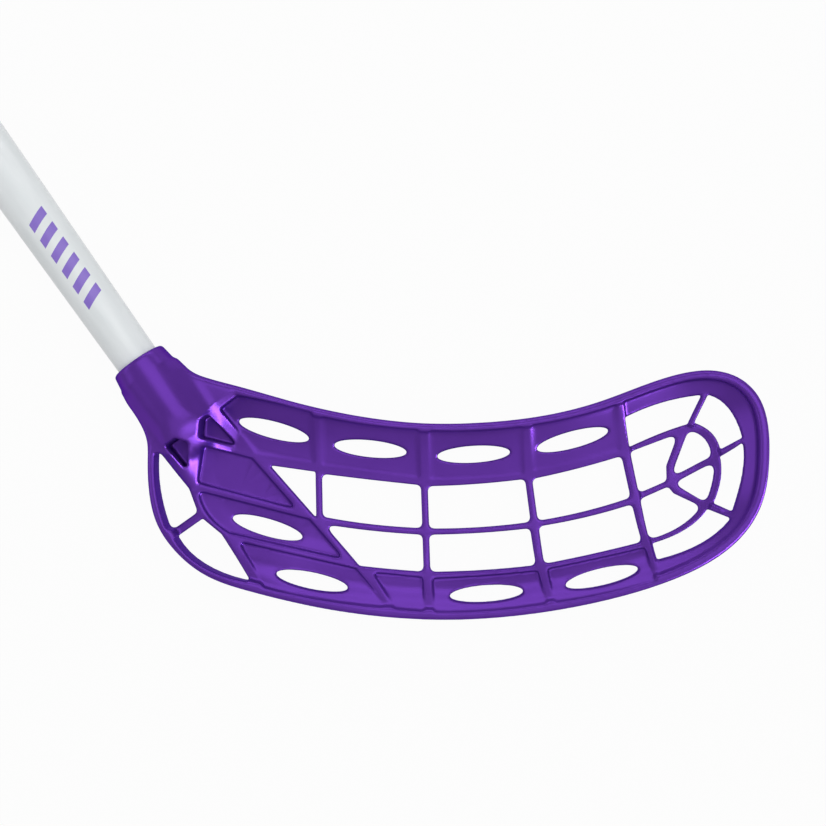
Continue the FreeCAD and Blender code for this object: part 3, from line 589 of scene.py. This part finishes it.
# %% Levels of the front and back
def smooth_step(value, first, last):
    """Zero up to first and one from last on, with an easy curve between them: 3 t^2 - 2 t^3."""
    t = np.clip((value - first) / (last - first), 0, 1)
    return t * t * (3 - 2 * t)


def swollen(loop):
    """The edge moved out, square to itself, by the swell of the rim's side round the toe and the sole."""
    place = np.linspace(0, 1, len(loop))
    way = np.gradient(loop, axis=0)
    way /= np.linalg.norm(way, axis=1)[:, None]
    swell = EDGE_SWELL * smooth_step(place, *SWELL_SHARES) * (1 - smooth_step(place, *SINK_SHARES))
    return loop + np.stack((-way[:, 1], way[:, 0]), axis=1) * swell[:, None]


outside_edge = loop_distance(across, up, swollen(edge_loop))
share = (across - on_blade(HEEL_PX, RIM_LEVEL)[0]) / BLADE_LENGTH
base = hook_rise(share) - BACK_DEPTH
rise = CUP_DEPTH * np.clip(1 - inside_edge / CUP_WIDTH, 0, None) ** CUP_POWER
back = base + rise * smooth_step(share, *HEEL_WALL_SHARES)
rim = base + RIM_LEVEL - LIP_FALL * inside_edge
rib = np.minimum(back + RIB, base + RIM_LEVEL - RIB_BELOW_RIM)
near_neck = np.clip(1 - outside_neck / NECK_SLOPE, 0, 1) ** NECK_POWER
rib = rib + np.maximum(base + RIM_LEVEL - rib, 0) * near_neck
on_spoke = smooth_step(-spokes, -SPOKE_SOFT, SPOKE_SOFT) * smooth_step(inside_edge, *SPOKE_FADE)
at_foot = smooth_step(inside_edge, LIP_WIDTH + FOOT_WIDTH, LIP_WIDTH) * smooth_step(up, *FOOT_FADE)
web = back + WEB + (RIB - WEB) * np.maximum(on_spoke, at_foot)


# %% The field
def soft_max(a, b, reach):
    """The larger of two fields, rounded where they are closer than reach."""
    return np.maximum(a, b) + np.maximum(reach - np.abs(a - b), 0) ** 2 / (4 * reach)


def soft_min(a, b, reach):
    """The smaller of two fields, rounded in the same way."""
    return -soft_max(-a, -b, reach)


def socket_field(s, p, w):
    """The socket's outside: distance from its axis less its radius, then a round nose cut by a slope."""
    floor = SOCKET_DEPTH + SOCKET_GAP
    from_axis = np.sqrt(p * p + w * w)
    plain = np.interp(s, (0, COLLAR_LENGTH, floor), (MOUTH_RADIUS, MOUTH_RADIUS, NECK_RADIUS))
    flared = np.interp(s, (0, COLLAR_LENGTH, COLLAR_LENGTH + COLLAR_EDGE, floor),
                       (MOUTH_RADIUS, COLLAR_RADIUS, COLLAR_RADIUS - COLLAR_STEP, NECK_RADIUS))
    radius = plain + (flared - plain) * (p / np.maximum(from_axis, 1)) ** 2
    nose = np.sqrt(((s - floor) / NOSE_LENGTH) ** 2 + (from_axis / NECK_RADIUS) ** 2) - 1
    tube = np.where(s < floor, from_axis - radius, nose * NOSE_LENGTH)
    slope = (w - NECK_RADIUS + NOSE_FALL * (s - floor)) / math.hypot(1, NOSE_FALL)
    return soft_max(soft_max(tube, slope, FILLETS["nose"]), -s, FILLETS["mouth"])


def blade_field():
    """Negative in the plastic: dish and ribs, round at the root, socket, then all that is cut away."""
    w = (LOW[2] + STEP[2] * np.arange(COUNT[2]))[None, None, :]
    plans = np.broadcast_arrays(inside_edge, outside_edge, back, rib, rim, web, near_neck)
    edge, side, back_at, rib_at, rim_at, web_at, near = [v[:, :, None].astype(np.float32) for v in plans]
    lip = soft_max(w - rim_at, edge - LIP_WIDTH, FILLETS["lip"])
    front = soft_min(lip, w - rib_at, FILLETS["rib_at_neck"] + FILLETS["rib"] * (1 - near))
    field = soft_max(soft_max(side, back_at - w, FILLETS["back"]), front, FILLETS["rim"])
    s = (across * math.cos(LIE) - up * math.sin(LIE))[:, :, None]
    p = (across * math.sin(LIE) + up * math.cos(LIE))[:, :, None]
    past = np.maximum(s - COLLAR_LENGTH, 0)
    root = np.sqrt(p * p + w * w) - ROOT_RADIUS - ROOT_SPREAD * past - ROOT_CURVE * past ** 2
    field = soft_max(field, root, FILLETS["root"])
    blend = FILLETS["socket"] + FILLETS["socket_far"] * smooth_step(s, *SOCKET_BLEND)
    field = soft_min(field, socket_field(s, p, w), blend)
    field = soft_max(field, -BACK_DEPTH - w, FILLETS["rest"])
    cut = np.minimum(panels, flange)[:, :, None]
    field = soft_max(field, -soft_max(cut, web_at - w, FILLETS["panel_floor"]), FILLETS["panel"])
    depth = TOP_PANEL_DEPTH * smooth_step(-top_panels, *TOP_PANEL_SLOPE)[:, :, None]
    shallow = soft_max(top_panels[:, :, None], back_at + RIB - depth - w, FILLETS["top_panel"])
    field = soft_max(field, -shallow, FILLETS["top_panel"])
    field = soft_max(field, -windows[:, :, None], FILLETS["window"])
    field = soft_max(field, -holes[:, :, None], FILLETS["window"])
    bore = np.maximum(np.sqrt(p * p + w * w) - BORE, s - SOCKET_DEPTH - SOCKET_GAP)
    field = soft_max(field, -bore, FILLETS["bore"])
    outward = -p * math.cos(SCREW_TURN) - w * math.sin(SCREW_TURN)
    sideways = p * math.sin(SCREW_TURN) - w * math.cos(SCREW_TURN)
    from_screw = np.sqrt((s - SCREW_PLACE) ** 2 + sideways ** 2)
    hole = np.maximum(from_screw - SHANK - SCREW_CLEARANCE, -outward)
    seat = np.maximum(from_screw - HEAD - SCREW_CLEARANCE, SCREW_SEAT - outward)
    return soft_max(field, -np.minimum(hole, seat), FILLETS["screw"]).astype(np.float32)


field = blade_field()
print("field of", field.shape, "places")


# %% A net over the zero of the field
CUBE = np.array([(i, j, k) for i in (0, 1) for j in (0, 1) for k in (0, 1)])
CUBE_EDGES = [(i, j) for i in range(8) for j in range(i + 1, 8) if np.abs(CUBE[i] - CUBE[j]).sum() == 1]


def net_over(values):
    """One point in each cell that the surface crosses, at its edges' mean crossing, joined by quads."""
    sign = values < 0
    nx, ny, nz = (n - 1 for n in sign.shape)
    corners = [sign[i:nx + i, j:ny + j, k:nz + k] for i, j, k in CUBE]
    total = np.sum(corners, axis=0)
    cells = np.argwhere((total > 0) & (total < 8))
    at = cells[:, None] + CUBE[None]
    value = values[at[..., 0], at[..., 1], at[..., 2]]
    crossings, count = np.zeros((len(cells), 3)), np.zeros((len(cells), 1))
    for i, j in CUBE_EDGES:
        first, second = value[:, i:i + 1], value[:, j:j + 1]
        crosses = (first < 0) != (second < 0)
        t = np.where(crosses, first / np.where(crosses, first - second, 1), 0)
        crossings += np.where(crosses, CUBE[i] + t * (CUBE[j] - CUBE[i]), 0)
        count += crosses
    points = cells + crossings / count
    number = np.full(total.shape, -1)
    number[tuple(cells.T)] = np.arange(len(cells))
    quads = []
    for axis in range(3):
        ahead = np.diff(sign.astype(np.int8), axis=axis)
        b, c = (axis + 1) % 3, (axis + 2) % 3
        where = np.argwhere(ahead != 0)
        where = where[(where[:, b] > 0) & (where[:, c] > 0)]
        step_b, step_c = np.eye(3, dtype=int)[b], np.eye(3, dtype=int)[c]
        ring = [where - step_b - step_c, where - step_c, where, where - step_b]
        quad = np.stack([number[tuple(r.T)] for r in ring], axis=1)
        outwards = ahead[tuple(where.T)] < 0
        quads.append(np.where(outwards[:, None], quad, quad[:, ::-1]))
    return points, np.concatenate(quads)


def sample(values, points):
    """Values between the places of a grid, mixed from the eight round each point."""
    cell = np.clip(points.astype(int), 0, np.array(values.shape) - 2)
    part = points - cell
    result = np.zeros(len(points))
    for corner in CUBE:
        weight = np.prod(np.where(corner, part, 1 - part), axis=1)
        result += weight * values[tuple((cell + corner).T)]
    return result


def drawn_to_zero(values, points, rounds=2, longest=0.4):
    """Each point moved along the field's slope to where the field is zero, by part of a cell at most."""
    steps = np.eye(3) * 0.5
    for _ in range(rounds):
        here = sample(values, points)
        slope = np.stack([sample(values, points + d) - sample(values, points - d) for d in steps], axis=1)
        move = here[:, None] * slope / np.maximum((slope ** 2).sum(1, keepdims=True), 1e-6)
        points = points - np.clip(move, -longest, longest)
    return points


def to_stick(a, b, w):
    """Places in the blade's plane, in the stick's frame: turned by the lie about the mouth's centre."""
    x = MOUTH_X + a * math.cos(LIE) - b * math.sin(LIE)
    return np.stack([x, a * math.sin(LIE) + b * math.cos(LIE), w], axis=-1)


net_points, net_quads = net_over(field)
net_points = drawn_to_zero(field, net_points) * STEP + LOW
blade = add_piece("moulded_blade", to_stick(*net_points.T), net_quads,
                  "stick", "blade", blade_plastic)

# %% [markdown]
# The net is as fine on flat ground as on a fillet. Decimate merges the points that add nothing to the
# shape, and leaves a mesh that is light enough to share.

# %% Lighter blade
TRIANGLES = 190000
fewer = blade.modifiers.new("fewer_triangles", "DECIMATE")
fewer.ratio = min(1.0, TRIANGLES / (2 * len(net_quads)))
print("blade keeps", round(fewer.ratio, 2), "of its", 2 * len(net_quads), "triangles")

# %% [markdown]
# ## The shaft
# The tube is straight for most of its length, narrows over the last stretch above the blade, and ends in a
# straight tip inside the socket. A profile that runs down the outside and back up the bore, turned round
# the X axis, gives both walls and both ends in one closed surface.

# %% Shaft
SHAFT_WALL, TAPER_LENGTH, SOCKET_CLEARANCE, TUBE_EDGE, TUBE_SIDES = 1.8, 145.0, 0.05, 0.5, 96
shaft_low, shaft_high = node_box("shaft")
butt, wide, thin = shaft_low[0], shaft_high[1], BORE - SOCKET_CLEARANCE
stations = (butt, MOUTH_X - TAPER_LENGTH, MOUTH_X, shaft_high[0])
outside = list(zip(stations, (wide, wide, thin, thin)))
inside = [(x, r - SHAFT_WALL) for x, r in reversed(outside)]
profile = softened(outside + inside, TUBE_EDGE)
rings = np.repeat(profile[:, 1:], TUBE_SIDES, axis=1)
add_piece("shaft_tube", turned(profile[:, :1], rings), ring_faces(*rings.shape, True),
          "stick", "shaft", shaft_lacquer)

# %% [markdown]
# ## The grip
# The grip is one long strip wound round the tube from the butt end, each turn over the edge of the one
# before. So the surface rises slowly across a turn and drops at its edge, and that edge runs round the
# tube as a helix: the radius depends on the place along the tube less the angle's share of one turn.

# %% Wound grip
TURN_WIDTH, LAP_RISE, ROW_HOLES, ROUND_HOLES = 21.0, 0.75, 9, 36
GRIP_SIDES, GRIP_ROWS, GRIP_EDGE, BAND_SEAT = 120, 420, 0.6, 1.1
TAPE_GAP, SKIN = 0.3, 0.02
grip_low, grip_high = node_box("grip_tape")
band_low, band_high = node_box("grip_band")


def strip_radius(along, angle):
    """The wound strip: outer radius less the lap, which grows across a turn and falls at its edge."""
    across_turn = (along - TURN_WIDTH * angle / (2 * np.pi)) / TURN_WIDTH % 1
    lap = np.interp(across_turn, (0, 0.04, 0.5, 0.9, 0.96, 1), (0, 0.1, 0.55, 1, 0.94, 0))
    return grip_high[1] - SKIN - LAP_RISE * (1 - lap)


angle = np.linspace(0, 2 * np.pi, GRIP_SIDES + 1)
wound = np.linspace(grip_low[0] + GRIP_EDGE, band_low[0] - TAPE_GAP, GRIP_ROWS)
along = np.concatenate([np.full(1, grip_low[0]), wound])
strip = strip_radius(along[:, None], angle[:-1])
strip[0] -= GRIP_EDGE
seat = wide + BAND_SEAT
ends = [(band_low[0] - SKIN, seat), (grip_high[0], seat), (grip_high[0], wide), (grip_low[0], wide)]
along = np.concatenate([along, [x for x, _ in ends]])
strip = np.concatenate([strip, np.repeat([[r] for _, r in ends], GRIP_SIDES, axis=1)])
grip = add_piece("wound_grip", turned(along[:, None], strip), ring_faces(*strip.shape, True),
                 "stick", "grip_tape", grip_foam)

# %% Map of the grip's strip
row, column = np.indices((len(along), GRIP_SIDES))
rows = np.stack([row, row, (row + 1) % len(along), (row + 1) % len(along)], axis=-1)
turns = np.stack([column, column + 1, column + 1, column], axis=-1) / GRIP_SIDES
strip_map = np.stack([turns * ROUND_HOLES, (along[rows] / TURN_WIDTH - turns) * ROW_HOLES], axis=-1)
layer = grip.data.uv_layers.new(name="strip")
layer.data.foreach_set("uv", strip_map.astype(np.float32).ravel())
print("strip map spans", strip_map.reshape(-1, 2).max(0), "holes")

# %% [markdown]
# ## Finishing tape and end cap
# The finishing tape holds the grip's lower end: it steps down from the grip to the bare tube. The cap is a
# rubber plug with a flat, grooved end and a rounded edge. Both are turned profiles with rounded corners;
# the cap's profile starts and ends on the axis, so its last rings close to a point.

# %% Finishing tape
TAPE, TAPE_EDGE = 0.5, 0.35
step = grip_high[0] + TAPE
profile = softened([
    (band_low[0], seat), (band_low[0], seat + TAPE), (step, seat + TAPE), (step, wide + TAPE),
    (band_high[0], wide + TAPE), (band_high[0], wide), (grip_high[0], wide), (grip_high[0], seat),
], TAPE_EDGE)
rings = np.repeat(profile[:, 1:], TUBE_SIDES, axis=1)
add_piece("finishing_tape", turned(profile[:, :1], rings), ring_faces(*rings.shape, True),
          "stick", "grip_band", band_tape)

# %% End cap
CAP_GROOVE, GROOVE_DEPTH, CAP_ROUND, CAP_EDGE = (7.4, 7.8, 9.0, 9.4), 0.6, 1.6, 0.8
PLUG_CLEARANCE, PLUG_CHAMFER, PLUG_WALL = 0.1, 1.2, 2.4


def closed_faces(rows, sides):
    """Faces of rings that end in a point at each end: the two points come after the rings' own."""
    here = np.arange(sides)
    beside = (here + 1) % sides
    count, tail = rows * sides, (rows - 1) * sides
    fans = [np.stack([np.full(sides, count), beside, here], axis=1),
            np.stack([np.full(sides, count + 1), here + tail, beside + tail], axis=1)]
    return ring_faces(rows, sides, False).tolist() + np.concatenate(fans).tolist()


cap_low, cap_high = node_box("end_cap")
face, tip, head, plug = cap_low[0], cap_high[0], cap_high[1], wide - SHAFT_WALL - PLUG_CLEARANCE
groove = face + GROOVE_DEPTH
corners = [
    (face, 0), (face, CAP_GROOVE[0]), (groove, CAP_GROOVE[1]), (groove, CAP_GROOVE[2]),
    (face, CAP_GROOVE[3]), (face, head - CAP_ROUND), (face + CAP_ROUND, head), (butt, head), (butt, plug),
    (tip - PLUG_CHAMFER, plug), (tip, plug - PLUG_CHAMFER), (tip, plug - PLUG_WALL),
    (butt, plug - PLUG_WALL), (butt, 0),
]
profile = softened(corners, CAP_EDGE)[CORNER_STEPS:-CORNER_STEPS]
rings = np.repeat(profile[:, 1:], TUBE_SIDES, axis=1)
points = np.concatenate([turned(profile[:, :1], rings), [(face, 0, 0), (butt, 0, 0)]])
add_piece("rubber_end_cap", points, closed_faces(*rings.shape), "cap", "end_cap", cap_rubber)

# %% [markdown]
# ## The blade's screw
# A short screw on the back of the socket keeps the blade from sliding off. Its shank carries a rolled
# thread, which is a helix like the grip's edge, and its head has a cross recess. The head's top is a disc
# of rings whose height drops inside the cross.

# %% Blade screw
SHANK_LENGTH, POINT_LENGTH, THREAD_PITCH, THREAD_DEPTH = 6.5, 1.4, 1.2, 0.45
HEAD_HEIGHT, CROSS_LENGTH, CROSS_WIDTH, CROSS_DEPTH = 1.7, 4.4, 1.0, 1.1
HEAD_CHAMFER, HEAD_EDGE, CROSS_SOFT, HEAD_GAP = 0.5, 0.4, 0.12, 0.02
TOP_FROM_EDGE, TOP_INNERMOST = 0.8, 0.05
SCREW_SIDES, SHANK_ROWS, TOP_ROWS = 96, 90, 30


def thread_radius(along, angle):
    """Root radius plus a ridge that winds round once in each pitch, worn off at the point and the head."""
    phase = (along / THREAD_PITCH - angle / (2 * np.pi)) % 1
    ridge = np.interp(phase, (0, 0.3, 0.42, 0.58, 0.7, 1), (0, 0, 1, 1, 0, 0))
    fade = smooth_step(along, -SHANK_LENGTH, -SHANK_LENGTH + 2) * smooth_step(-along, 0.3, 0.9)
    slim = np.interp(along, (-SHANK_LENGTH, -SHANK_LENGTH + POINT_LENGTH), (0.12, 1))
    return (SHANK - THREAD_DEPTH * (1 - ridge * fade)) * slim


def cross_drop(radius, angle):
    """Depth of the recess: full inside two crossed bars, none outside them."""
    y, z = np.abs(radius * np.cos(angle)), np.abs(radius * np.sin(angle))
    flat = np.maximum(y - CROSS_LENGTH / 2, z - CROSS_WIDTH / 2)
    upright = np.maximum(y - CROSS_WIDTH / 2, z - CROSS_LENGTH / 2)
    return CROSS_DEPTH * smooth_step(-np.minimum(flat, upright), -CROSS_SOFT, CROSS_SOFT)


angle = np.linspace(0, 2 * np.pi, SCREW_SIDES, endpoint=False)[None]
shank_at = np.linspace(-SHANK_LENGTH, -HEAD_GAP, SHANK_ROWS)[:, None]
corners = [
    (0, 0), (0, HEAD), (HEAD_HEIGHT - HEAD_CHAMFER, HEAD),
    (HEAD_HEIGHT, HEAD - HEAD_CHAMFER), (HEAD_HEIGHT, 0),
]
edge = softened(corners, HEAD_EDGE)[CORNER_STEPS:-CORNER_STEPS]
top = np.linspace(HEAD - TOP_FROM_EDGE, TOP_INNERMOST, TOP_ROWS)[:, None]
along = np.concatenate([
    np.repeat(shank_at, SCREW_SIDES, axis=1), np.repeat(edge[:, :1], SCREW_SIDES, axis=1),
    HEAD_HEIGHT - cross_drop(top, angle),
])
radius = np.concatenate([
    thread_radius(shank_at, angle), np.repeat(edge[:, 1:], SCREW_SIDES, axis=1),
    np.repeat(top, SCREW_SIDES, axis=1),
])
ways = np.stack([along, radius * np.cos(angle), radius * np.sin(angle)], axis=-1).reshape(-1, 3)
points = np.concatenate([ways, [(-SHANK_LENGTH, 0, 0), (HEAD_HEIGHT - CROSS_DEPTH, 0, 0)]])
out = np.array((0, -math.cos(SCREW_TURN), -math.sin(SCREW_TURN)))
side = np.array((1.0, 0, 0))
axes = np.stack([out, side, np.cross(out, side)])
screw_points = points @ axes + (MOUTH_X + SCREW_PLACE, 0, 0) + out * SCREW_SEAT
add_piece("steel_blade_screw", screw_points, closed_faces(*radius.shape),
          "screw", "blade_screw", screw_steel)

# %% [markdown]
# ## The studio
# The stick lies on a pale floor that the camera sees as white. The camera hangs straight over the blade,
# turned so that the blade's long way is level in the picture, as far away as the picture was taken from.

# %% Floor, light and camera
PICTURE_SIDE = 826
PICTURE_MIDDLE = (MIDDLE_PX - MOUTH_PX) * MM_PER_PX * (1, -1)
FLOOR_CORNERS = (-6, -6), (8, -6), (8, 6), (-6, 6)
floor_level = cad_low[2]


def pale_floor():
    material, tree, _ = new_material("pale_floor")
    path = add_node(tree, "ShaderNodeLightPath")
    seen = add_node(tree, "ShaderNodeMath", {
        0: path.outputs["Is Camera Ray"], 1: path.outputs["Is Glossy Ray"],
    }, operation="MAXIMUM")
    seen = add_node(tree, "ShaderNodeMath", {
        0: seen.outputs[0], 1: path.outputs["Is Transmission Ray"],
    }, operation="MAXIMUM")
    pale = add_node(tree, "ShaderNodeBsdfDiffuse", {"Color": linear("#bdbdbd")})
    glow = add_node(tree, "ShaderNodeEmission", {"Color": (1, 1, 1, 1), "Strength": 1.0})
    both = add_node(tree, "ShaderNodeMixShader", {"Fac": 0.04, 1: glow.outputs[0], 2: pale.outputs[0]})
    mix = add_node(tree, "ShaderNodeMixShader", {
        "Fac": seen.outputs[0], 1: pale.outputs[0], 2: both.outputs[0],
    })
    add_node(tree, "ShaderNodeOutputMaterial", {"Surface": mix.outputs[0]})
    return material


floor_mesh = bpy.data.meshes.new("floor")
floor_mesh.from_pydata([(x, y, floor_level) for x, y in FLOOR_CORNERS], [], [(0, 1, 2, 3)])
floor_mesh.materials.append(pale_floor())
floor = bpy.data.objects.new("floor", floor_mesh)
bpy.context.scene.collection.objects.link(floor)

world = bpy.data.worlds.new("studio")
bpy.context.scene.world = world
world.use_nodes = True
world.node_tree.nodes.clear()
straight = add_node(world.node_tree, "ShaderNodeLightPath").outputs["Is Camera Ray"]
strength = add_node(world.node_tree, "ShaderNodeMapRange", {
    "Value": straight, "To Min": 0.45, "To Max": 1.0,
})
sky = add_node(world.node_tree, "ShaderNodeBackground", {
    "Color": (1, 1, 1, 1), "Strength": strength.outputs["Result"],
})
add_node(world.node_tree, "ShaderNodeOutputWorld", {"Surface": sky.outputs["Background"]})


def area_light(name, a, b, w, size, power, shines_only=False):
    """An oblong soft light over the blade, aimed at the picture's middle; some show only in shine."""
    light = bpy.data.lights.new(name, "AREA")
    light.shape = "RECTANGLE"
    light.size, light.size_y, light.energy = *size, power
    lamp = bpy.data.objects.new(name, light)
    place = to_stick(a, b, w) * MM
    aim = to_stick(*PICTURE_MIDDLE, 0) * MM - place
    flat = math.hypot(aim[0], aim[1])
    lamp.location = place
    lamp.visible_diffuse = not shines_only
    lamp.rotation_euler = (math.atan2(flat, -aim[2]), 0, math.atan2(aim[1], aim[0]) - math.pi / 2)
    bpy.context.scene.collection.objects.link(lamp)


area_light("key", 150, 1120, 460, (1.6, 0.4), 4.5)
area_light("front", 500, 260, 1450, (1.3, 1.3), 8.5)
area_light("fill", 350, -800, 1100, (1.4, 1.0), 2.5)
area_light("left", -1000, 0, 620, (1.0, 0.5), 1.8)
area_light("kicker", 2030, -1730, 800, (2.0, 0.7), 95, True)
area_light("rim", 1450, -420, 90, (0.3, 0.3), 9, True)

camera_data = bpy.data.cameras.new("camera")
camera = bpy.data.objects.new("camera", camera_data)
camera.location = to_stick(*PICTURE_MIDDLE, VIEW_DISTANCE) * MM
camera.rotation_euler = (0, 0, LIE)
camera_data.sensor_width = 36.0
camera_data.lens = camera_data.sensor_width * VIEW_DISTANCE / (PICTURE_SIDE * MM_PER_PX[0])
camera_data.clip_start, camera_data.clip_end = 0.01, 100
bpy.context.scene.collection.objects.link(camera)
bpy.context.scene.camera = camera
bpy.context.scene.view_settings.view_transform = "Standard"
